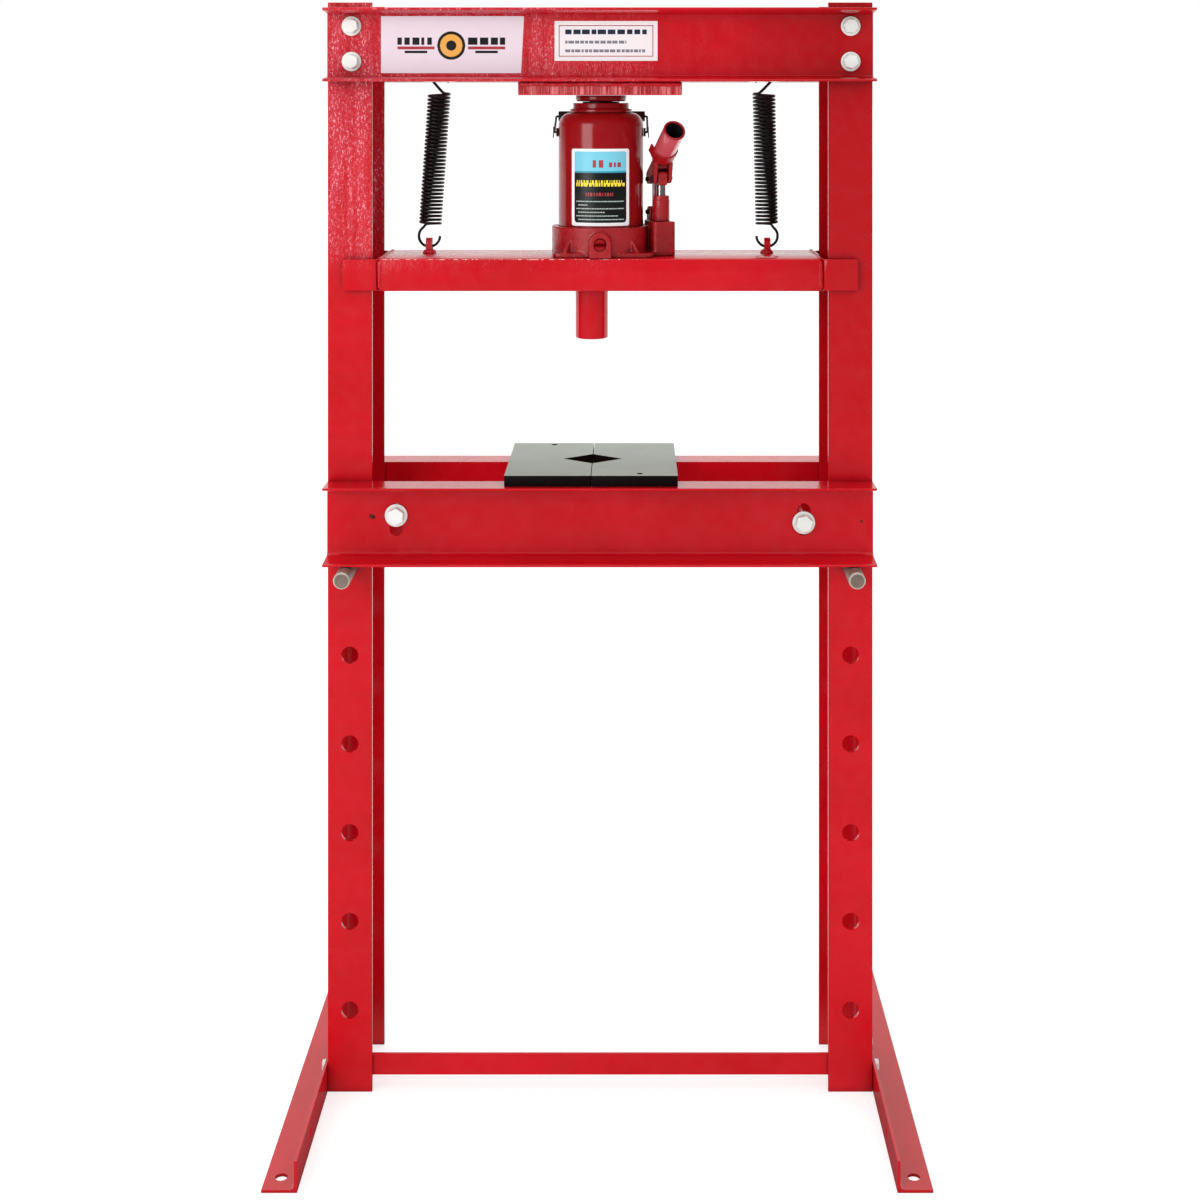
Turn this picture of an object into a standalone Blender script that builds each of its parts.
"""Hydraulic shop press.  An H-frame of channel steel carries a crossbar that a bottle jack pushes
down against two return springs, and a work bed that rests on two support pins.

World axes: +X to the right, +Y to the back, +Z up.  The origin lies on the floor at the centre of
the footprint.  All lengths are metres and all angles are radians unless a name says otherwise.
"""

import math

import bmesh
import bpy
from mathutils import Matrix, Vector

X_AXIS = Vector((1, 0, 0))
Y_AXIS = Vector((0, 1, 0))
Z_AXIS = Vector((0, 0, 1))
SIDES = (("left", -1), ("right", 1))
FACES = (("front", -1), ("rear", 1))
GAP = 0.0003  # between pieces that touch

# Posts: channels with the web outboard and the flanges pointing inwards
HALF_WIDTH = 0.375
POST_HEIGHT = 1.500
POST_HALF_DEPTH = 0.066
POST_FLANGE = 0.061
POST_WEB = 0.0065
POST_SKIN = 0.0055
POST_ROOT_RADIUS = 0.007

# Support pins and the rows of holes that take them
PIN_X = 0.3448
PIN_HOLE_RADIUS = 0.012
PIN_HOLE_FIRST = 0.1125
PIN_HOLE_PITCH = 0.1222
PIN_HOLE_COUNT = 6
PIN_RADIUS = 0.01125
PIN_HALF_LENGTH = 0.142
PIN_CHAMFER = 0.002
PIN_Z = PIN_HOLE_FIRST + PIN_HOLE_PITCH * (PIN_HOLE_COUNT - 1) - (PIN_HOLE_RADIUS - PIN_RADIUS) + GAP

# Beams: rolled channels with their webs against the posts and their flanges pointing outwards
BEAM_FLANGE = 0.048
BEAM_WEB = 0.0053
BEAM_TIP = 0.0036
BEAM_SLOPE = 0.08
TOP_BEAM_ROOT_RADIUS = 0.003
BED_BEAM_ROOT_RADIUS = 0.007
BEAM_TIP_RADIUS = 0.003
TOP_BEAM_HEIGHT = 0.100
TOP_BEAM_BOTTOM = 1.391
BED_BEAM_HEIGHT = 0.1065
BED_CLEARANCE = 0.001
BED_BOTTOM = PIN_Z + PIN_RADIUS + GAP
BED_TOP = BED_BOTTOM + BED_BEAM_HEIGHT
BED_INNER = POST_HALF_DEPTH + BED_CLEARANCE

# Fasteners: (across flats / 2, head height, washer radius, washer thickness, shank radius, nut height)
TOP_BOLT = (0.0105, 0.0085, 0.0134, 0.0022, 0.0070, 0.0110)
TOP_BOLT_PLACES = {"left": -0.3415, "right": 0.3440}
TOP_BOLT_HEIGHTS = (1.4185, 1.4672)
FOOT_BOLT = (0.0080, 0.0064, 0.0105, 0.0018, 0.0050, 0.0080)
TIE_BOLT = (0.0120, 0.0100, 0.0155, 0.0026, 0.0078, 0.0130)
BOLT_THREAD_END = 0.004
BOLT_SIDES = 12

# Head plate welded under the top beams, and the straps that the springs hook into
HEAD_PLATE_SIZE = (0.224, 0.176, 0.0184)
HANGER_SIZE = (0.036, 0.004)
HANGER_HOLE_X = 0.0112
HANGER_HOLE_RADIUS = 0.0044

# Feet and the tie bar between the posts
FOOT_WIDTH = 0.045
FOOT_HEIGHT = 0.040
FOOT_SKIN = 0.004
FOOT_HALF_LENGTH = 0.301
FOOT_ROOT_RADIUS = 0.005
ANCHOR_X = 0.400
ANCHOR_Y = 0.273
ANCHOR_RADIUS = 0.008
SIDE_HOLE_Y = 0.202
SIDE_HOLE_Z = 0.020
SIDE_HOLE_RADIUS = 0.00625
FOOT_BOLT_Y = 0.033
TIE_BAR_LEG = 0.0295
TIE_BAR_SKIN = 0.004
TIE_BAR_BOTTOM = 0.0205
TIE_BAR_HALF_LENGTH = 0.3550

# Bed: tie bolts run through upright slots and spacer tubes; two loose arbor plates lie on top
TIE_BOLT_PLACES = {"left": (-0.2800, 0.7955), "right": (0.2795, 0.7855)}
TIE_SLOT_WIDTH = 0.0185
TIE_SLOT_HEIGHT = 0.0445
TIE_SLOT_Z = 0.7897
TIE_SPACER_RADIUS = 0.013
PLATE_CENTRE = (-0.012, 0.0155)
PLATE_WIDTH = 0.118
PLATE_LENGTH = 0.237
PLATE_THICKNESS = 0.0145
PLATE_NOTCH = (0.042, 0.033)  # reach from the seam, and half its opening along the seam
PLATE_HOLE_RADIUS = 0.0045
PLATE_HOLES = {"left": (-0.0705, 0.1215), "right": (0.0546, -0.088)}

# Crossbar, its guides that wrap round the posts, and the ram below it
CROSSBAR_HALF_WIDTH = 0.3025
CROSSBAR_HALF_DEPTH = 0.075
CROSSBAR_BOTTOM = 1.103
CROSSBAR_TOP = 1.148
CROSSBAR_SKIN = 0.005
GUIDE_REACH = 0.0510
GUIDE_SKIN = 0.006
GUIDE_BEND = 0.010  # outer radius of its two bends
GUIDE_INSET = 0.0010
RAM_X = -0.013
RAM_RADIUS = 0.023
RAM_BOTTOM = 1.030
RAM_CHAMFER = 0.0015

# Return springs: (x of the upper hook, x of the lower hook)
SPRING_PLACES = {"left": (-0.2287, -0.2444), "right": (0.2310, 0.2360)}
SPRING_Y = 0.020
SPRING_TURNS = 35.5
SPRING_STEPS = 6
SPRING_RADIUS = 0.0146
SPRING_WIRE = 0.0020
COIL_TOP = 1.3746
COIL_BOTTOM = 1.1882
UPPER_HOOK = (1.3985, 0.0125)  # height of the hook's centre, radius
LOWER_HOOK = (1.1720, 0.015)
UPPER_HOOK_TURN = (-40, 215)  # degrees round the hook, from its tip to the coil
LOWER_HOOK_TURN = (125, 360)  # degrees round the hook, from the coil to its tip
COIL_LEAD = math.radians(300)
HOOK_STEPS = 12
LUG_SIZE = (0.009, 0.018, 0.0215)
LUG_HOLE_RADIUS = 0.0048

# Bottle jack, standing on the crossbar at x = y = 0
TANK_RADIUS = 0.060
TANK_SKIN = 0.004
TANK_BOTTOM = 1.1740
SHOULDER_BOTTOM = 1.3287
SHOULDER_TOP = 1.3475
SHOULDER_RADIUS = 0.0438
JACK_SEGMENTS = 32
BASE_PLATE = (-0.066, 0.074, 0.066, 0.006)  # left, right, half depth, thickness
BASE_RIM_RADIUS = 0.069
BASE_RIM_TOP = 1.1890
BASE_FLOOR = 1.1737
GUSSET_AZIMUTHS = (50, 130, 232, 310)
GUSSET_THICKNESS = 0.005
GUSSET_OUTLINE = ((0.055, 0), (0.082, 0), (0.082, 0.006), (0.071, 0.021), (0.055, 0.021))
VALVE_BOSS = (0.0152, 0.0352, 0.0148)  # half width, height, radius of its top corners
VALVE_BOSS_BACK_Y = -0.0637
VALVE_BORE_BACK_Y = -0.0612
LINK_EAR = (0.008, 0.022, 0.0075)  # half width, height, radius of its top corners
CYLINDER_RADIUS = 0.036
BORE_RADIUS = 0.0265
PISTON_RADIUS = 0.0260
PISTON_BOTTOM = 1.1800
PISTON_TOP = 1.3632
SCREW_RADIUS = 0.0160
SCREW_BOTTOM = 1.2000
SADDLE_TOP = 1.3720
SADDLE_RADIUS = 0.0355
COLLAR_TOP = 1.3613
VALVE_Z = 1.1667
VALVE_RADIUS = 0.0080
VALVE_FACE_Y = -0.0765
PLUG_Z = 1.272

# Carry handle of the jack: a wire bail that leans back, with a grip sleeve
BAIL_PIVOT_Z = 1.320
BAIL_REACH = 0.074
BAIL_LEAN = math.radians(17)
BAIL_WIRE = 0.0016
BAIL_HALF_WIDTH = 0.0658
BAIL_CORNER = 0.004
BAIL_LUG_LENGTH = 0.003
BAIL_LUG_RADIUS = 0.006
GRIP_RADIUS = 0.0075
GRIP_HALF_LENGTH = 0.0605

# Hand pump at the jack's right side, turned a little away from straight ahead
PUMP_YAW = math.radians(16)
PUMP_X = 0.0845
PUMP_Y = -0.020
PUMP_BLOCK_TOP = 1.196
PUMP_BLOCK = (0.016, 0.034, 0.018)  # half width, reach to the rear, reach to the front
PUMP_CYLINDER_RADIUS = 0.012
PUMP_CYLINDER_TOP = 1.2317
PUMP_ROD_RADIUS = 0.00675
PUMP_ROD_BOTTOM = 1.2143
PUMP_HEAD = (0.0065, 0.0085, 1.2465, 1.2655)  # half width, half length, bottom, top
LEVER_ARM = 0.024
LEVER_LEAN = math.radians(5)
FULCRUM_SETBACK = 0.0224
PUMP_PIN_Z = 1.256
PUMP_PIN_RADIUS = 0.0035
PUMP_PIN_HALF_LENGTH = 0.0158
SOCKET_LEAN = math.radians(32)
SOCKET_FOOT = (0.003, 1.2865)  # ahead of the pump's axis, height
SOCKET_LENGTH = 0.072
SOCKET_RADIUS = 0.01525
SOCKET_BORE = 0.0127
SOCKET_BACK_WALL = 0.005
SOCKET_ARM = (0.0083, 0.0133)  # inner and outer face of a side arm, from the middle
CRADLE_RADII = (0.0162, 0.0184)
CRADLE_DROP = 0.0012
CRADLE_START = 0.006  # from the socket's closed end
CRADLE_LENGTH = 0.018
LINK_HALF_WIDTH = 0.0045
LINK_PIVOT_Z = 1.2080

FRONT = Vector((math.sin(PUMP_YAW), -math.cos(PUMP_YAW), 0))  # the way the pump handle points
PUMP_RIGHT = Vector((math.cos(PUMP_YAW), math.sin(PUMP_YAW), 0))
PUMP_AXIS = Vector((PUMP_X, PUMP_Y, 0))
FULCRUM = (
    PUMP_AXIS
    - FULCRUM_SETBACK * FRONT
    + (PUMP_PIN_Z - LEVER_ARM * math.sin(LEVER_LEAN)) * Z_AXIS
)
PUMP_PIN = FULCRUM + LEVER_ARM * (math.cos(LEVER_LEAN) * FRONT + math.sin(LEVER_LEAN) * Z_AXIS)
BAIL_PIVOT = Vector((0, 0, BAIL_PIVOT_Z))

# Name: (colour, roughness, metallic)
MATERIALS = {
    "red_enamel": ((0.58, 0.012, 0.022), 0.28, 0.0),
    "jack_enamel": ((0.50, 0.010, 0.018), 0.22, 0.0),
    "zinc": ((0.66, 0.66, 0.64), 0.35, 1.0),
    "bare_steel": ((0.36, 0.34, 0.31), 0.38, 1.0),
    "ground_steel": ((0.40, 0.43, 0.42), 0.42, 0.9),
    "black_spring_steel": ((0.015, 0.016, 0.017), 0.35, 0.3),
    "polished_steel": ((0.62, 0.62, 0.61), 0.15, 1.0),
    "dark_steel": ((0.06, 0.06, 0.06), 0.40, 0.8),
    "black_rubber": ((0.012, 0.012, 0.012), 0.60, 0.0),
}


# ---------------------------------------------------------------- shapes


def clear_scene():
    for obj in list(bpy.data.objects):
        bpy.data.objects.remove(obj, do_unlink=True)


def make_materials():
    for name, (colour, roughness, metallic) in MATERIALS.items():
        material = bpy.data.materials.new(name)
        material.use_nodes = True
        shader = material.node_tree.nodes["Principled BSDF"]
        shader.inputs["Base Color"].default_value = (*colour, 1)
        shader.inputs["Roughness"].default_value = roughness
        shader.inputs["Metallic"].default_value = metallic
        material.diffuse_color = (*colour, 1)


def placed(origin, across, up):
    """Matrix that carries local x to across, y to up, and z to their cross product."""
    across = Vector(across).normalized()
    up = Vector(up).normalized()
    matrix = Matrix((across, up, across.cross(up))).transposed().to_4x4()
    matrix.translation = Vector(origin)
    return matrix


def upright(x, y, z=0.0):
    return Matrix.Translation((x, y, z))


def add_object(name, bm, material):
    """Turns a bmesh into an object in the scene, smooth except at its real edges."""
    bmesh.ops.recalc_face_normals(bm, faces=bm.faces)
    mesh = bpy.data.meshes.new(name)
    bm.to_mesh(mesh)
    bm.free()
    mesh.shade_smooth()
    mesh.set_sharp_from_angle(angle=math.radians(32))
    obj = bpy.data.objects.new(name, mesh)
    bpy.context.scene.collection.objects.link(obj)
    if material:
        mesh.materials.append(bpy.data.materials[material])
    return obj


def join_rings(bm, rings, matrix, capped):
    """Joins rings of points by quads.  The ends are capped, or the last ring meets the first."""
    verts = [[bm.verts.new(matrix @ Vector(point)) for point in ring] for ring in rings]
    pairs = list(zip(verts, verts[1:]))
    if capped:
        bm.faces.new(verts[0])
        bm.faces.new(verts[-1])
    else:
        pairs.append((verts[-1], verts[0]))
    for first, second in pairs:
        for index in range(len(first)):
            bm.faces.new((first[index - 1], first[index], second[index], second[index - 1]))


def lofted(name, rings, matrix, material=None, capped=True):
    bm = bmesh.new()
    join_rings(bm, rings, matrix, capped)
    return add_object(name, bm, material)


def prism(name, outline, length, matrix, material=None):
    """A flat outline in the matrix's x-y plane, extruded by length along its z."""
    rings = [[(x, y, z) for x, y in outline] for z in (0, length)]
    return lofted(name, rings, matrix, material)


def box(name, low, high, material=None):
    """A block between two corners."""
    outline = [(low[0], low[1]), (high[0], low[1]), (high[0], high[1]), (low[0], high[1])]
    return prism(name, outline, high[2] - low[2], upright(0, 0, low[2]), material)


def circle(radius, z, segments, flats=False):
    """Ring of points round z.  With flats it is a hexagon, and radius is half its width."""
    points = []
    for index in range(segments):
        angle = 2 * math.pi * index / segments
        reach = radius
        if flats:
            reach /= math.cos((angle + math.pi / 6) % (math.pi / 3) - math.pi / 6)
        points.append((reach * math.cos(angle), reach * math.sin(angle), z))
    return points


def turned(name, profile, segments, matrix, material=None):
    """A solid of revolution round the matrix's z from (radius, height) points, none on the axis."""
    rings = [circle(radius, z, segments) for radius, z in profile]
    return lofted(name, rings, matrix, material)


def turned_shell(name, profile, segments, matrix, material=None):
    """A hollow of revolution: the closed (radius, height) profile swept once round the z axis."""
    rings = []
    for index in range(segments):
        angle = 2 * math.pi * index / segments
        rings.append([(r * math.cos(angle), r * math.sin(angle), z) for r, z in profile])
    return lofted(name, rings, matrix, material, capped=False)


def cylinders(name, radius, segments, length, matrices):
    """Several equal cylinders in one mesh, each starting at its matrix's origin."""
    bm = bmesh.new()
    for matrix in matrices:
        join_rings(bm, [circle(radius, z, segments) for z in (0, length)], matrix, True)
    return add_object(name, bm, None)


def rounded(corners, steps=3):
    """Outline through (x, y, radius) corners, with an arc of that radius at each."""
    points = []
    for index, (x, y, radius) in enumerate(corners):
        corner = Vector((x, y))
        if not radius:
            points.append(corner)
            continue
        back = (Vector(corners[index - 1][:2]) - corner).normalized()
        ahead = (Vector(corners[(index + 1) % len(corners)][:2]) - corner).normalized()
        half = back.angle(ahead) / 2
        centre = corner + (back + ahead).normalized() * (radius / math.sin(half))
        start = corner + back * (radius / math.tan(half)) - centre
        end = corner + ahead * (radius / math.tan(half)) - centre
        turn = math.atan2(start.cross(end), start.dot(end))
        for step in range(steps + 1):
            points.append(centre + Matrix.Rotation(turn * step / steps, 2) @ start)
    return [tuple(point) for point in points]


def arch(half_width, height, radius):
    """Upright outline with a flat foot at y = 0 and two rounded top corners."""
    sides = ((-half_width, 0, 0), (half_width, 0, 0))
    return rounded([*sides, (half_width, height, radius), (-half_width, height, radius)])


def channel_outline(depth, flange, web, tip, slope=0.0, root_radius=0.0, tip_radius=0.0, bend=0.0):
    """Channel section with its web along y at x = 0 and its flanges pointing along +x."""
    half = depth / 2
    root = tip + slope * (flange - web)
    lower = [
        (0, -half, bend),
        (flange, -half, 0),
        (flange, -half + tip, tip_radius),
        (web, -half + root, root_radius),
    ]
    return rounded(lower + [(x, -y, radius) for x, y, radius in reversed(lower)])


def angle_outline(width, height, skin, root_radius):
    """Angle section with its corner at the origin and its legs along +x and +y."""
    return rounded(
        [
            (0, 0, 0),
            (width, 0, 0),
            (width, skin, 0),
            (skin, skin, root_radius),
            (skin, height, 0),
            (0, height, 0),
        ]
    )


def cut(target, tool):
    add_boolean(target, tool, "DIFFERENCE")


def unite(target, tool):
    add_boolean(target, tool, "UNION")


def add_boolean(target, tool, operation):
    modifier = target.modifiers.new(tool.name, "BOOLEAN")
    modifier.operation = operation
    modifier.object = tool
    tool.hide_render = True
    tool.display_type = "WIRE"


def set_origin(obj, point):
    """Puts the object's origin at a world point without moving its shape."""
    obj.data.transform(Matrix.Translation(-Vector(point)))
    obj.location = point


def wire(name, points, radius, material, sides=4):
    """A tube along the points, with filled ends."""
    curve = bpy.data.curves.new(name, "CURVE")
    curve.dimensions = "3D"
    curve.bevel_depth = radius
    curve.bevel_resolution = (sides - 4) // 2
    curve.use_fill_caps = True
    spline = curve.splines.new("POLY")
    spline.points.add(len(points) - 1)
    for spot, point in zip(spline.points, points):
        spot.co = (*point, 1)
    curve.materials.append(bpy.data.materials[material])
    obj = bpy.data.objects.new(name, curve)
    bpy.context.scene.collection.objects.link(obj)
    return obj


def bolt(name, sizes, grip, matrix):
    """Hex bolt, washer and nut as tightened.  The matrix's origin is on the clamped face, its z out."""
    flats, head, washer, skin, shank, nut = sizes
    nut_top = -grip - GAP
    nut_end = nut_top - nut
    rings = [
        circle(flats * 0.9, skin + head, BOLT_SIDES, True),
        circle(flats, skin + head * 0.85, BOLT_SIDES, True),
        circle(flats, skin, BOLT_SIDES, True),
        circle(washer, skin, BOLT_SIDES),
        circle(washer, GAP, BOLT_SIDES),
        circle(shank, GAP, BOLT_SIDES),
        circle(shank, nut_top, BOLT_SIDES),
        circle(flats, nut_top, BOLT_SIDES, True),
        circle(flats, nut_end, BOLT_SIDES, True),
        circle(shank, nut_end, BOLT_SIDES),
        circle(shank, nut_end - BOLT_THREAD_END, BOLT_SIDES),
    ]
    return lofted(name, rings, matrix, "zinc")


def assembly(name, joint_point, members):
    """An empty on the joint's axis, with its moving pieces parented to it where they are."""
    empty = bpy.data.objects.new(name, None)
    empty.location = joint_point
    bpy.context.scene.collection.objects.link(empty)
    inverse = Matrix.Translation(-Vector(joint_point))
    for member in members:
        member.parent = empty
        member.matrix_parent_inverse = inverse
    return empty


# ---------------------------------------------------------------- frame


def make_posts():
    outline = channel_outline(
        2 * POST_HALF_DEPTH, POST_FLANGE, POST_WEB, POST_SKIN, 0, POST_ROOT_RADIUS
    )
    for side, sign in SIDES:
        matrix = placed((sign * HALF_WIDTH, 0, 0), -sign * X_AXIS, -sign * Y_AXIS)
        post = prism(f"post_{side}", outline, POST_HEIGHT, matrix, "red_enamel")
        through = POST_HALF_DEPTH + 0.012
        pin_holes = [
            placed((sign * PIN_X, through, PIN_HOLE_FIRST + row * PIN_HOLE_PITCH), X_AXIS, Z_AXIS)
            for row in range(PIN_HOLE_COUNT)
        ]
        bolt_holes = [
            placed((TOP_BOLT_PLACES[side], through, height), X_AXIS, Z_AXIS)
            for height in TOP_BOLT_HEIGHTS
        ]
        foot_holes = [
            placed((sign * (HALF_WIDTH + 0.01), y, SIDE_HOLE_Z), Y_AXIS, sign * -Z_AXIS)
            for y in (-FOOT_BOLT_Y, FOOT_BOLT_Y)
        ]
        cut(post, cylinders(f"pin_drill_{side}", PIN_HOLE_RADIUS, 16, 2 * through, pin_holes))
        cut(post, cylinders(f"bolt_drill_{side}", TOP_BOLT[4] + GAP, 12, 2 * through, bolt_holes))
        cut(post, cylinders(f"foot_drill_{side}", FOOT_BOLT[4] + GAP, 12, 0.02, foot_holes))


def beam(name, sign, inner, bottom, height, root_radius):
    """A rolled channel across the posts; sign is -1 for the front one and +1 for the rear one."""
    outline = channel_outline(
        height, BEAM_FLANGE, BEAM_WEB, BEAM_TIP, BEAM_SLOPE, root_radius, BEAM_TIP_RADIUS
    )
    origin = (-sign * HALF_WIDTH, sign * inner, bottom + height / 2)
    return prism(name, outline, 2 * HALF_WIDTH, placed(origin, sign * Y_AXIS, Z_AXIS), "red_enamel")


def make_top_beams():
    inner = POST_HALF_DEPTH + GAP
    for face, sign in FACES:
        top_beam = beam(
            f"top_beam_{face}", sign, inner, TOP_BEAM_BOTTOM, TOP_BEAM_HEIGHT, TOP_BEAM_ROOT_RADIUS
        )
        holes = [
            placed((x, sign * inner + 0.01, z), X_AXIS, Z_AXIS)
            for x in TOP_BOLT_PLACES.values()
            for z in TOP_BOLT_HEIGHTS
        ]
        cut(top_beam, cylinders(f"beam_drill_{face}", TOP_BOLT[4] + GAP, 12, 0.02, holes))


def make_top_bolts():
    outside = POST_HALF_DEPTH + GAP + BEAM_WEB
    grip = BEAM_WEB + GAP + POST_SKIN
    for face, sign in FACES:
        for side, x in TOP_BOLT_PLACES.items():
            for level, z in zip(("lower", "upper"), TOP_BOLT_HEIGHTS):
                matrix = placed((x, sign * outside, z), sign * Z_AXIS, X_AXIS)
                bolt(f"top_bolt_{face}_{side}_{level}", TOP_BOLT, grip, matrix)


def make_head_plate():
    width, depth, height = HEAD_PLATE_SIZE
    top = TOP_BEAM_BOTTOM - GAP
    low = (-width / 2, -depth / 2, top - height)
    plate = box("head_plate", low, (width / 2, depth / 2, top), "red_enamel")
    bevel = plate.modifiers.new("edges", "BEVEL")
    bevel.width = 0.001
    bevel.segments = 1


def make_spring_hangers():
    """Straps between the webs of the top beams, each with two holes for a spring's hook."""
    width, height = HANGER_SIZE
    reach = POST_HALF_DEPTH
    bottom = TOP_BEAM_BOTTOM
    for side, (x, _) in SPRING_PLACES.items():
        low = (x - width / 2, -reach, bottom)
        high = (x + width / 2, reach, bottom + height)
        hanger = box(f"spring_hanger_{side}", low, high, "red_enamel")
        holes = [
            upright(x + offset, SPRING_Y, bottom - 0.005)
            for offset in (-HANGER_HOLE_X, HANGER_HOLE_X)
        ]
        cut(hanger, cylinders(f"hanger_drill_{side}", HANGER_HOLE_RADIUS, 12, 0.02, holes))


def make_feet():
    outline = angle_outline(FOOT_WIDTH, FOOT_HEIGHT, FOOT_SKIN, FOOT_ROOT_RADIUS)
    for side, sign in SIDES:
        inner = sign * (HALF_WIDTH + GAP)
        matrix = placed((inner, sign * FOOT_HALF_LENGTH, 0), sign * X_AXIS, Z_AXIS)
        foot = prism(f"foot_{side}", outline, 2 * FOOT_HALF_LENGTH, matrix, "red_enamel")
        anchors = [upright(sign * ANCHOR_X, y, -0.005) for y in (-ANCHOR_Y, ANCHOR_Y)]
        side_holes = [
            placed((inner - sign * 0.01, y, SIDE_HOLE_Z), Y_AXIS, sign * Z_AXIS)
            for y in (-SIDE_HOLE_Y, SIDE_HOLE_Y)
        ]
        bolt_holes = [
            placed((inner - sign * 0.01, y, SIDE_HOLE_Z), Y_AXIS, sign * Z_AXIS)
            for y in (-FOOT_BOLT_Y, FOOT_BOLT_Y)
        ]
        cut(foot, cylinders(f"anchor_drill_{side}", ANCHOR_RADIUS, 16, 0.02, anchors))
        cut(foot, cylinders(f"side_drill_{side}", SIDE_HOLE_RADIUS, 12, 0.02, side_holes))
        cut(foot, cylinders(f"clamp_drill_{side}", FOOT_BOLT[4] + GAP, 12, 0.02, bolt_holes))
        for face, y in (("front", -FOOT_BOLT_Y), ("rear", FOOT_BOLT_Y)):
            outside = inner + sign * FOOT_SKIN
            place = placed((outside, y, SIDE_HOLE_Z), Y_AXIS, sign * Z_AXIS)
            bolt(f"foot_bolt_{side}_{face}", FOOT_BOLT, FOOT_SKIN + GAP + POST_WEB, place)


def make_tie_bar():
    """Angle between the posts, upright leg in front and flat leg at the bottom."""
    outline = angle_outline(TIE_BAR_LEG, TIE_BAR_LEG, TIE_BAR_SKIN, TIE_BAR_SKIN)
    front = -(POST_HALF_DEPTH - POST_SKIN - GAP)
    matrix = placed((-TIE_BAR_HALF_LENGTH, front, TIE_BAR_BOTTOM), Y_AXIS, Z_AXIS)
    prism("tie_bar", outline, 2 * TIE_BAR_HALF_LENGTH, matrix, "red_enamel")


def make_support_pins():
    """Each pin lies on the bottom of its holes; it is modelled round its own middle."""
    end = PIN_HALF_LENGTH
    profile = [
        (PIN_RADIUS - PIN_CHAMFER, -end),
        (PIN_RADIUS, -end + PIN_CHAMFER),
        (PIN_RADIUS, end - PIN_CHAMFER),
        (PIN_RADIUS - PIN_CHAMFER, end),
    ]
    for side, sign in SIDES:
        centre = Vector((sign * PIN_X, 0, PIN_Z))
        matrix = placed(centre, X_AXIS, Z_AXIS)
        pin = turned(f"support_pin_{side}", profile, 16, matrix, "bare_steel")
        set_origin(pin, centre)


# ---------------------------------------------------------------- bed


def make_bed():
    pieces = []
    slot = rounded(
        [
            (x * TIE_SLOT_WIDTH / 2, y * TIE_SLOT_HEIGHT / 2, TIE_SLOT_WIDTH * 0.499)
            for x, y in ((-1, -1), (1, -1), (1, 1), (-1, 1))
        ],
        steps=4,
    )
    for face, sign in FACES:
        bed_beam = beam(
            f"bed_beam_{face}", sign, BED_INNER, BED_BOTTOM, BED_BEAM_HEIGHT, BED_BEAM_ROOT_RADIUS
        )
        for side, (x, _) in TIE_BOLT_PLACES.items():
            matrix = placed((x, sign * BED_INNER + 0.01, TIE_SLOT_Z), X_AXIS, Z_AXIS)
            cut(bed_beam, prism(f"slot_tool_{face}_{side}", slot, 0.02, matrix))
        pieces.append(bed_beam)
    for side, (x, z) in TIE_BOLT_PLACES.items():
        outside = BED_INNER + BEAM_WEB
        matrix = placed((x, -outside, z), -Z_AXIS, X_AXIS)
        pieces.append(bolt(f"tie_bolt_{side}", TIE_BOLT, 2 * outside, matrix))
        half = BED_INNER - GAP
        bore = TIE_BOLT[4] + 2 * GAP
        outer = TIE_SPACER_RADIUS
        profile = [(outer, -half), (outer, half), (bore, half), (bore, -half)]
        place = placed((x, 0, z), X_AXIS, Z_AXIS)
        pieces.append(turned_shell(f"tie_spacer_{side}", profile, 12, place, "red_enamel"))
    return pieces


def make_arbor_plates():
    """Loose plates whose notches make a diamond-shaped opening between them."""
    seam, middle = PLATE_CENTRE
    reach, half_opening = PLATE_NOTCH
    near = 0.0005
    bottom = BED_TOP + GAP
    plates = []
    for side, sign in SIDES:
        corners = [
            (near, -PLATE_LENGTH / 2, 0.001),
            (PLATE_WIDTH, -PLATE_LENGTH / 2, 0.002),
            (PLATE_WIDTH, PLATE_LENGTH / 2, 0.002),
            (near, PLATE_LENGTH / 2, 0.001),
            (near, half_opening, 0.001),
            (reach, 0, 0.001),
            (near, -half_opening, 0.001),
        ]
        outline = rounded(corners, steps=2)
        matrix = placed((seam, middle, bottom), sign * X_AXIS, sign * Y_AXIS)
        plate = prism(f"arbor_plate_{side}", outline, PLATE_THICKNESS, matrix, "ground_steel")
        hole = [upright(*PLATE_HOLES[side], bottom - 0.003)]
        cut(plate, cylinders(f"plate_drill_{side}", PLATE_HOLE_RADIUS, 12, 0.02, hole))
        centre = (seam + sign * PLATE_WIDTH / 2, middle, bottom)
        set_origin(plate, centre)
        plates.append(plate)
    return plates


# ---------------------------------------------------------------- crossbar


def make_crossbar():
    """Rectangular tube; its open ends are covered by the guides."""
    half_depth = CROSSBAR_HALF_DEPTH
    height = CROSSBAR_TOP - CROSSBAR_BOTTOM
    outlines = []
    for inset, radius in ((0, 0.003), (CROSSBAR_SKIN, 0.001)):
        y = half_depth - inset
        corners = [(-y, inset), (y, inset), (y, height - inset), (-y, height - inset)]
        outlines.append(rounded([(*corner, radius) for corner in corners], steps=2))
    outer, inner = outlines
    length = 2 * CROSSBAR_HALF_WIDTH
    rings = [[(x, y, z) for x, y in outer] for z in (0, length)]
    rings += [[(x, y, z) for x, y in inner] for z in (length, 0)]
    matrix = placed((-CROSSBAR_HALF_WIDTH, 0, CROSSBAR_BOTTOM), Y_AXIS, Z_AXIS)
    return lofted("crossbar", rings, matrix, "red_enamel", capped=False)


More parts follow.
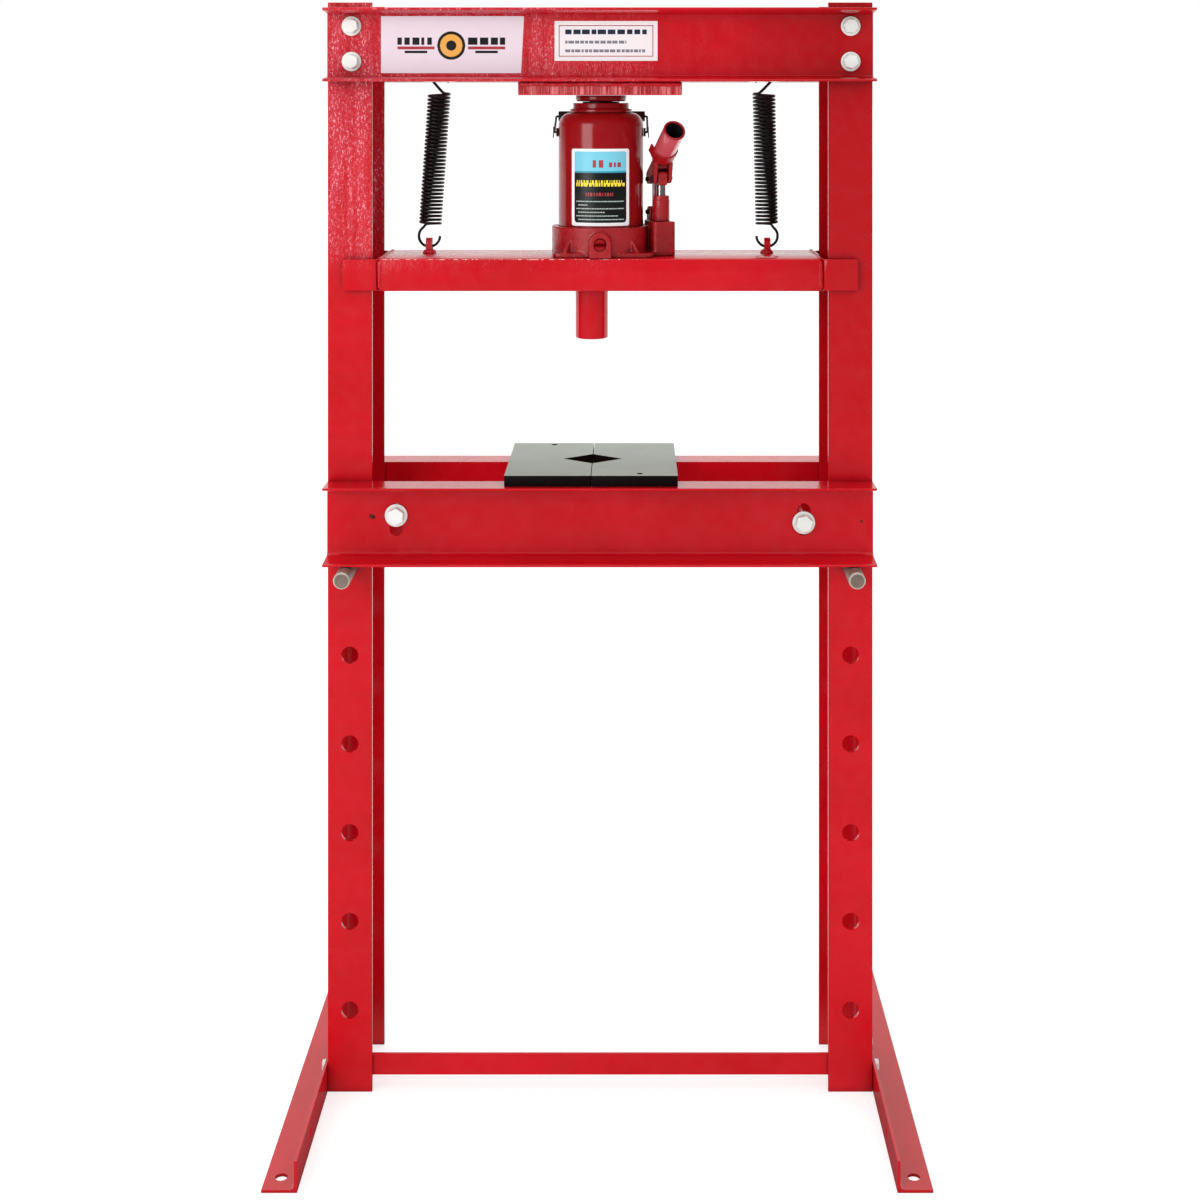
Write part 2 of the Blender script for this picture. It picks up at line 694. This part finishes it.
def make_guides():
    """Bent straps on the crossbar's ends that wrap round both flanges of each post."""
    outline = channel_outline(
        2 * CROSSBAR_HALF_DEPTH,
        GUIDE_REACH,
        GUIDE_SKIN,
        GUIDE_SKIN,
        root_radius=GUIDE_BEND - GUIDE_SKIN,
        bend=GUIDE_BEND,
    )
    height = CROSSBAR_TOP - CROSSBAR_BOTTOM - 2 * GUIDE_INSET
    guides = []
    for side, sign in SIDES:
        start = (sign * (CROSSBAR_HALF_WIDTH + GAP), 0, CROSSBAR_BOTTOM + GUIDE_INSET)
        matrix = placed(start, sign * X_AXIS, sign * Y_AXIS)
        guides.append(prism(f"guide_{side}", outline, height, matrix, "red_enamel"))
    return guides


def make_ram():
    top = CROSSBAR_BOTTOM - GAP
    profile = [
        (RAM_RADIUS - RAM_CHAMFER, RAM_BOTTOM),
        (RAM_RADIUS, RAM_BOTTOM + RAM_CHAMFER),
        (RAM_RADIUS, top),
    ]
    return turned("ram", profile, 32, upright(RAM_X, 0), "red_enamel")


def make_spring_lugs():
    """Upright eye plates on the crossbar, drilled from side to side for the springs' hooks."""
    thickness, width, height = LUG_SIZE
    hook_z, hook_radius = LOWER_HOOK
    hole_z = hook_z - hook_radius + SPRING_WIRE + 0.0012 - LUG_HOLE_RADIUS
    base = CROSSBAR_TOP + GAP
    outline = arch(width / 2, height, width * 0.495)
    lugs = []
    for side, (_, x) in SPRING_PLACES.items():
        matrix = placed((x - thickness / 2, SPRING_Y, base), Y_AXIS, Z_AXIS)
        lug = prism(f"spring_lug_{side}", outline, thickness, matrix, "red_enamel")
        hole = [placed((x - 0.01, SPRING_Y, hole_z), Y_AXIS, Z_AXIS)]
        cut(lug, cylinders(f"lug_drill_{side}", LUG_HOLE_RADIUS, 12, 0.02, hole))
        lugs.append(lug)
    return lugs


def spring_points(upper_x, lower_x, sign):
    """Centreline from the upper hook's tip, down the coil, to the lower hook's tip."""
    upper_z, upper_radius = UPPER_HOOK
    lower_z, lower_radius = LOWER_HOOK
    drift = (upper_x - lower_x) / (upper_z - lower_z)

    def axis_x(z):
        return lower_x + drift * (z - lower_z)

    points = []
    for step in range(HOOK_STEPS + 1):
        start, end = UPPER_HOOK_TURN
        angle = math.radians(start + (end - start) * step / HOOK_STEPS)
        x = upper_x - sign * upper_radius * math.cos(angle)
        points.append((x, SPRING_Y, upper_z + upper_radius * math.sin(angle)))
    count = round(SPRING_TURNS * SPRING_STEPS)
    for step in range(count + 1):
        angle = COIL_LEAD + 2 * math.pi * step / SPRING_STEPS
        z = COIL_TOP + (COIL_BOTTOM - COIL_TOP) * step / count
        x = axis_x(z) - sign * SPRING_RADIUS * math.cos(angle)
        points.append((x, SPRING_Y + SPRING_RADIUS * math.sin(angle), z))
    for step in range(HOOK_STEPS + 1):
        start, end = LOWER_HOOK_TURN
        angle = math.radians(start + (end - start) * step / HOOK_STEPS)
        x = lower_x - sign * lower_radius * math.cos(angle)
        points.append((x, SPRING_Y, lower_z + lower_radius * math.sin(angle)))
    return points


def make_springs():
    springs = []
    for side, sign in SIDES:
        points = spring_points(*SPRING_PLACES[side], sign)
        springs.append(wire(f"return_spring_{side}", points, SPRING_WIRE, "black_spring_steel"))
    return springs


# ---------------------------------------------------------------- bottle jack


def make_jack_base():
    """Casting with a rimmed seat for the tank, a foot plate with gussets, and two side bosses."""
    bottom = CROSSBAR_TOP + GAP
    centre = upright(0, 0)
    profile = [
        (BASE_RIM_RADIUS, bottom),
        (BASE_RIM_RADIUS, BASE_RIM_TOP - 0.003),
        (BASE_RIM_RADIUS - 0.003, BASE_RIM_TOP),
        (TANK_RADIUS + GAP, BASE_RIM_TOP),
        (TANK_RADIUS + GAP, BASE_FLOOR),
    ]
    base = turned("jack_base", profile, JACK_SEGMENTS, centre, "jack_enamel")
    left, right, half, thickness = BASE_PLATE
    corners = [(left, -half), (right, -half), (right, half), (left, half)]
    plate = rounded([(*corner, 0.010) for corner in corners])
    unite(base, prism("base_plate_form", plate, thickness, upright(0, 0, bottom)))
    for azimuth in GUSSET_AZIMUTHS:
        turn = math.radians(azimuth)
        outward = Vector((math.cos(turn), math.sin(turn), 0))
        start = outward.cross(Z_AXIS) * -GUSSET_THICKNESS / 2 + Vector((0, 0, bottom + 0.001))
        place = placed(start, outward, Z_AXIS)
        unite(base, prism(f"gusset_form_{azimuth}", GUSSET_OUTLINE, GUSSET_THICKNESS, place))
    boss_place = placed((0, VALVE_BOSS_BACK_Y, bottom), X_AXIS, Z_AXIS)
    boss_length = VALVE_BOSS_BACK_Y - VALVE_FACE_Y
    unite(base, prism("valve_boss_form", arch(*VALVE_BOSS), boss_length, boss_place))
    valve_hole = [placed((0, VALVE_BORE_BACK_Y, VALVE_Z), X_AXIS, Z_AXIS)]
    cut(base, cylinders("valve_drill", VALVE_RADIUS + GAP, 16, 0.03, valve_hole))
    width, rear, front = PUMP_BLOCK
    block = [(-width, -rear, 0.004), (width, -rear, 0.006), (width, front, 0.006), (-width, front, 0.004)]
    pump_place = placed(PUMP_AXIS + Vector((0, 0, bottom)), -PUMP_RIGHT, FRONT)
    unite(base, prism("pump_block_form", rounded(block), PUMP_BLOCK_TOP - bottom, pump_place))
    for side, sign in SIDES:
        inner, outer = SOCKET_ARM
        foot = PUMP_AXIS - FULCRUM_SETBACK * FRONT + Vector((0, 0, PUMP_BLOCK_TOP - 0.002))
        across = sign * FRONT
        start = foot + across.cross(Z_AXIS) * (inner - 0.003)
        ear = prism(f"ear_form_{side}", arch(*LINK_EAR), outer - inner + 0.002, placed(start, across, Z_AXIS))
        unite(base, ear)
    pivot = FULCRUM.copy()
    pivot.z = LINK_PIVOT_Z
    ear_hole = [placed(pivot - 0.03 * PUMP_RIGHT, FRONT, -Z_AXIS)]
    cut(base, cylinders("ear_drill", PUMP_PIN_RADIUS + GAP, 12, 0.06, ear_hole))
    return base


def make_tank():
    """Oil tank: a sleeve that narrows in a rounded shoulder, open at both ends."""
    steps = 4
    outer = [(TANK_RADIUS, TANK_BOTTOM)]
    inner = [(TANK_RADIUS - TANK_SKIN, TANK_BOTTOM)]
    for step in range(steps + 1):
        turn = math.pi / 2 * step / steps
        drop = (SHOULDER_TOP - SHOULDER_BOTTOM) * math.sin(turn)
        span = TANK_RADIUS - SHOULDER_RADIUS
        radius = TANK_RADIUS - span * (1 - math.cos(turn))
        outer.append((radius, SHOULDER_BOTTOM + drop))
        if step % 2 == 0:
            inner.append((radius - TANK_SKIN, SHOULDER_BOTTOM + drop - TANK_SKIN * math.sin(turn)))
    neck = CYLINDER_RADIUS + GAP
    outer.append((neck, SHOULDER_TOP))
    inner.append((neck, SHOULDER_TOP - TANK_SKIN))
    tank = turned_shell("jack_tank", outer + inner[::-1], JACK_SEGMENTS, upright(0, 0), "jack_enamel")
    hole = [placed((0, TANK_RADIUS + 0.01, PLUG_Z), X_AXIS, Z_AXIS)]
    cut(tank, cylinders("plug_drill", 0.0048, 12, 0.03, hole))
    return tank


def make_jack_insides():
    """Pressure cylinder, gland nut, piston and the extension screw with its saddle."""
    centre = upright(0, 0)
    bore = BORE_RADIUS
    wall = [
        (CYLINDER_RADIUS, TANK_BOTTOM),
        (CYLINDER_RADIUS, SHOULDER_TOP),
        (bore, SHOULDER_TOP),
        (bore, TANK_BOTTOM),
    ]
    cylinder = turned_shell("jack_cylinder", wall, JACK_SEGMENTS, centre, "bare_steel")
    nut_bottom = SHOULDER_TOP + GAP
    collar = [
        (bore, nut_bottom),
        (SHOULDER_RADIUS, nut_bottom),
        (SHOULDER_RADIUS, 1.3525),
        (0.0393, 1.3535),
        (0.0393, COLLAR_TOP - 0.001),
        (0.0383, COLLAR_TOP),
        (bore, COLLAR_TOP),
    ]
    gland = turned_shell("gland_nut", collar, JACK_SEGMENTS, centre, "jack_enamel")
    screw_bore = SCREW_RADIUS + GAP
    rod = [
        (PISTON_RADIUS, PISTON_BOTTOM),
        (PISTON_RADIUS, PISTON_TOP),
        (screw_bore, PISTON_TOP),
        (screw_bore, PISTON_BOTTOM + 0.010),
    ]
    piston = turned("jack_piston", rod, 24, centre, "polished_steel")
    saddle = [
        (SCREW_RADIUS, SCREW_BOTTOM),
        (SCREW_RADIUS, PISTON_TOP + GAP),
        (0.0262, PISTON_TOP + GAP),
        (0.0275, 1.3665),
        (SADDLE_RADIUS, 1.3698),
        (SADDLE_RADIUS, SADDLE_TOP - 0.0005),
        (SADDLE_RADIUS - 0.0005, SADDLE_TOP),
    ]
    screw = turned("extension_screw", saddle, 24, centre, "jack_enamel")
    return cylinder, gland, piston, screw


def make_release_valve():
    """Spindle with a V notch across its end for the slotted end of the pump handle."""
    start = VALVE_FACE_Y - 0.003
    profile = [(VALVE_RADIUS - 0.001, 0), (VALVE_RADIUS, 0.001), (VALVE_RADIUS, 0.018)]
    place = placed((0, start, VALVE_Z), Z_AXIS, X_AXIS)
    valve = turned("release_valve", profile, 16, place, "jack_enamel")
    notch = [(-0.0035, -0.001), (0, 0.0055), (0.0035, -0.001)]
    tool = prism("notch_tool", notch, 0.03, placed((0.015, start, VALVE_Z), Z_AXIS, Y_AXIS))
    cut(valve, tool)
    set_origin(valve, (0, start, VALVE_Z))
    return valve


def make_filler_plug():
    """Plug at the back of the tank, with a stem through its wall."""
    head = TANK_RADIUS + 0.0008
    profile = [
        (0.0042, TANK_RADIUS - 0.006),
        (0.0042, head),
        (0.0080, head),
        (0.0080, head + 0.003),
        (0.0065, head + 0.004),
    ]
    return turned("filler_plug", profile, 12, placed((0, 0, PLUG_Z), Z_AXIS, X_AXIS), "black_rubber")


def make_bail_lugs():
    """Short bushes on the tank's sides that the bail's ends turn in."""
    lugs = []
    for side, sign in SIDES:
        near = TANK_RADIUS + GAP
        end = near + BAIL_LUG_LENGTH
        bore = BAIL_WIRE + 2 * GAP
        profile = [(BAIL_LUG_RADIUS, near), (BAIL_LUG_RADIUS, end), (bore, end), (bore, near)]
        place = placed(BAIL_PIVOT, Y_AXIS, sign * Z_AXIS)
        lugs.append(turned_shell(f"bail_lug_{side}", profile, 12, place, "dark_steel"))
    return lugs


def make_carry_handle():
    """Wire bail from bush to bush round the back of the tank, with a grip sleeve on it."""
    away = Vector((0, math.cos(BAIL_LEAN), math.sin(BAIL_LEAN)))
    grip_centre = BAIL_PIVOT + BAIL_REACH * away
    ends = TANK_RADIUS + 0.0008
    edge = BAIL_HALF_WIDTH
    corners = [
        (-ends, 0, 0),
        (-edge, 0, 0.003),
        (-edge, BAIL_REACH, BAIL_CORNER),
        (edge, BAIL_REACH, BAIL_CORNER),
        (edge, 0, 0.003),
        (ends, 0, 0),
    ]
    points = [BAIL_PIVOT + x * X_AXIS + reach * away for x, reach in rounded(corners)]
    bail = wire("carry_bail", points, BAIL_WIRE, "dark_steel", sides=6)
    bore = BAIL_WIRE + GAP
    end = GRIP_HALF_LENGTH
    profile = [
        (GRIP_RADIUS - 0.001, -end),
        (GRIP_RADIUS, -end + 0.001),
        (GRIP_RADIUS, end - 0.001),
        (GRIP_RADIUS - 0.001, end),
        (bore, end),
        (bore, -end),
    ]
    grip = turned_shell("carry_grip", profile, 16, placed(grip_centre, Y_AXIS, Z_AXIS), "black_rubber")
    return bail, grip


# ---------------------------------------------------------------- hand pump


def make_pump_cylinder():
    bore = PUMP_ROD_RADIUS + GAP
    bottom = PUMP_BLOCK_TOP + GAP
    profile = [
        (PUMP_CYLINDER_RADIUS, bottom),
        (PUMP_CYLINDER_RADIUS, PUMP_CYLINDER_TOP - 0.001),
        (PUMP_CYLINDER_RADIUS - 0.001, PUMP_CYLINDER_TOP),
        (bore, PUMP_CYLINDER_TOP),
        (bore, bottom),
    ]
    return turned_shell("pump_cylinder", profile, 16, upright(PUMP_X, PUMP_Y), "jack_enamel")


def make_pump_piston():
    """Rod with a flat head; the head's slot leaves the lever's pin room to swing."""
    half_width, half_length, bottom, top = PUMP_HEAD
    profile = [(PUMP_ROD_RADIUS, PUMP_ROD_BOTTOM), (PUMP_ROD_RADIUS, bottom + 0.001)]
    rod = turned("pump_piston", profile, 16, upright(PUMP_X, PUMP_Y), "polished_steel")
    head = [
        (-half_length, bottom, 0.002),
        (half_length, bottom, 0.002),
        (half_length, top, 0.004),
        (-half_length, top, 0.004),
    ]
    head_start = PUMP_AXIS + half_width * PUMP_RIGHT
    unite(rod, prism("head_form", rounded(head), 2 * half_width, placed(head_start, FRONT, Z_AXIS)))
    slot = rounded(
        [
            (x * 0.0055, PUMP_PIN_Z + y * 0.0041, 0.0040)
            for x, y in ((-1, -1), (1, -1), (1, 1), (-1, 1))
        ]
    )
    slot_start = PUMP_AXIS + 0.02 * PUMP_RIGHT
    cut(rod, prism("head_slot_tool", slot, 0.04, placed(slot_start, FRONT, Z_AXIS)))
    set_origin(rod, (PUMP_X, PUMP_Y, PUMP_PIN_Z))
    return rod


def cross_pin(name, centre):
    """Headless pin through the lever, along the hinge axis."""
    half = PUMP_PIN_HALF_LENGTH
    radius = PUMP_PIN_RADIUS - GAP
    profile = [
        (radius - 0.0006, -half),
        (radius, -half + 0.0006),
        (radius, half - 0.0006),
        (radius - 0.0006, half),
    ]
    pin = turned(name, profile, 12, placed(centre, Z_AXIS, FRONT), "dark_steel")
    return pin


def make_link():
    """Upright link from the base's ears to the fulcrum."""
    outline = rounded(
        [
            (-0.0065, LINK_PIVOT_Z - 0.0065, 0.006),
            (0.0065, LINK_PIVOT_Z - 0.0065, 0.006),
            (0.0065, FULCRUM.z + 0.0065, 0.006),
            (-0.0065, FULCRUM.z + 0.0065, 0.006),
        ]
    )
    foot = Vector((FULCRUM.x, FULCRUM.y, 0))
    start = foot + LINK_HALF_WIDTH * PUMP_RIGHT
    link = prism("fulcrum_link", outline, 2 * LINK_HALF_WIDTH, placed(start, FRONT, Z_AXIS), "jack_enamel")
    holes = [
        placed(foot + z * Z_AXIS + 0.02 * PUMP_RIGHT, FRONT, Z_AXIS) for z in (LINK_PIVOT_Z, FULCRUM.z)
    ]
    cut(link, cylinders("link_drill", PUMP_PIN_RADIUS, 12, 0.04, holes))
    return link


def socket_matrix():
    """Frame of the socket tube: z along the tube towards its mouth, x to the right, y up and forward."""
    along = math.cos(SOCKET_LEAN) * FRONT + math.sin(SOCKET_LEAN) * Z_AXIS
    ahead, height = SOCKET_FOOT
    origin = PUMP_AXIS + ahead * FRONT + height * Z_AXIS
    up = along.cross(PUMP_RIGHT)
    return placed(origin, PUMP_RIGHT, up)


def make_handle_socket():
    """Tube for the pump handle, in a cradle between two side arms that hold the lever's two pins."""
    matrix = socket_matrix()
    tube = turned(
        "handle_socket",
        [(SOCKET_RADIUS, 0), (SOCKET_RADIUS, SOCKET_LENGTH)],
        20,
        matrix,
        "jack_enamel",
    )
    inner, outer = SOCKET_ARM
    ahead = PUMP_PIN - FULCRUM
    reach = ahead.dot(FRONT)
    rise = ahead.z
    foot, height = SOCKET_FOOT
    tube_x = foot + FULCRUM_SETBACK
    tube_z = height - FULCRUM.z
    arm = rounded(
        [
            (-0.0075, -0.0075, 0.007),
            (reach + 0.0070, rise - 0.0070, 0.006),
            (tube_x + 0.012, tube_z - 0.008, 0.002),
            (tube_x - 0.002, tube_z - 0.004, 0.002),
            (-0.0075, 0.0090, 0.007),
        ]
    )
    for side, offset in (("left", -inner), ("right", outer)):
        start = FULCRUM + offset * PUMP_RIGHT
        unite(tube, prism(f"arm_form_{side}", arm, outer - inner, placed(start, FRONT, Z_AXIS)))
    unite(tube, make_cradle(matrix))
    bore_start = matrix @ Matrix.Translation((0, 0, SOCKET_BACK_WALL))
    cut(tube, cylinders("socket_bore", SOCKET_BORE, 20, SOCKET_LENGTH, [bore_start]))
    holes = [placed(centre + 0.02 * PUMP_RIGHT, FRONT, Z_AXIS) for centre in (FULCRUM, PUMP_PIN)]
    cut(tube, cylinders("lever_drill", PUMP_PIN_RADIUS, 12, 0.04, holes))
    set_origin(tube, FULCRUM)
    return tube


def make_cradle(matrix):
    """Half ring below the tube with flared ends."""
    steps = 8
    inner_radius, outer_radius = CRADLE_RADII
    lift = CRADLE_DROP
    arc = [math.pi + math.pi * step / steps for step in range(steps + 1)]
    outer = [(outer_radius * math.cos(a), lift + outer_radius * math.sin(a)) for a in arc]
    inner = [(inner_radius * math.cos(a), lift + inner_radius * math.sin(a)) for a in arc]
    flare = [(0.0205, lift + 0.006), (0.0185, lift + 0.0065)]
    outline = outer + flare + inner[::-1] + [(-x, y) for x, y in reversed(flare)]
    start = matrix @ Matrix.Translation((0, 0, CRADLE_START))
    return prism("cradle_form", outline, CRADLE_LENGTH, start)


# ---------------------------------------------------------------- whole object


def build():
    clear_scene()
    make_materials()
    make_posts()
    make_top_beams()
    make_top_bolts()
    make_head_plate()
    make_spring_hangers()
    make_feet()
    make_tie_bar()
    make_support_pins()

    bed = assembly("bed_assembly", (0, 0, BED_BOTTOM), make_bed())
    plates = make_arbor_plates()
    for plate in plates:
        plate.parent = bed
        plate.matrix_parent_inverse = Matrix.Translation((0, 0, -BED_BOTTOM))

    carriage_members = [
        make_crossbar(),
        *make_guides(),
        make_ram(),
        *make_spring_lugs(),
        make_jack_base(),
        make_tank(),
        make_filler_plug(),
        *make_bail_lugs(),
        make_pump_cylinder(),
        make_link(),
        cross_pin("fulcrum_pin", FULCRUM),
        cross_pin("link_pin", Vector((FULCRUM.x, FULCRUM.y, LINK_PIVOT_Z))),
        make_release_valve(),
    ]
    cylinder, gland, piston, screw = make_jack_insides()
    carriage = assembly("carriage", (0, 0, CROSSBAR_TOP), carriage_members + [cylinder, gland])
    make_springs()
    moving = [
        assembly("jack_ram_assembly", (0, 0, PISTON_BOTTOM), [piston, screw]),
        assembly("pump_lever", FULCRUM, [make_handle_socket(), cross_pin("pump_pin", PUMP_PIN)]),
        assembly("pump_rod", PUMP_PIN, [make_pump_piston()]),
        assembly("carry_handle", BAIL_PIVOT, make_carry_handle()),
    ]
    for empty in moving:
        empty.parent = carriage
        empty.matrix_parent_inverse = Matrix.Translation((0, 0, -CROSSBAR_TOP))


build()
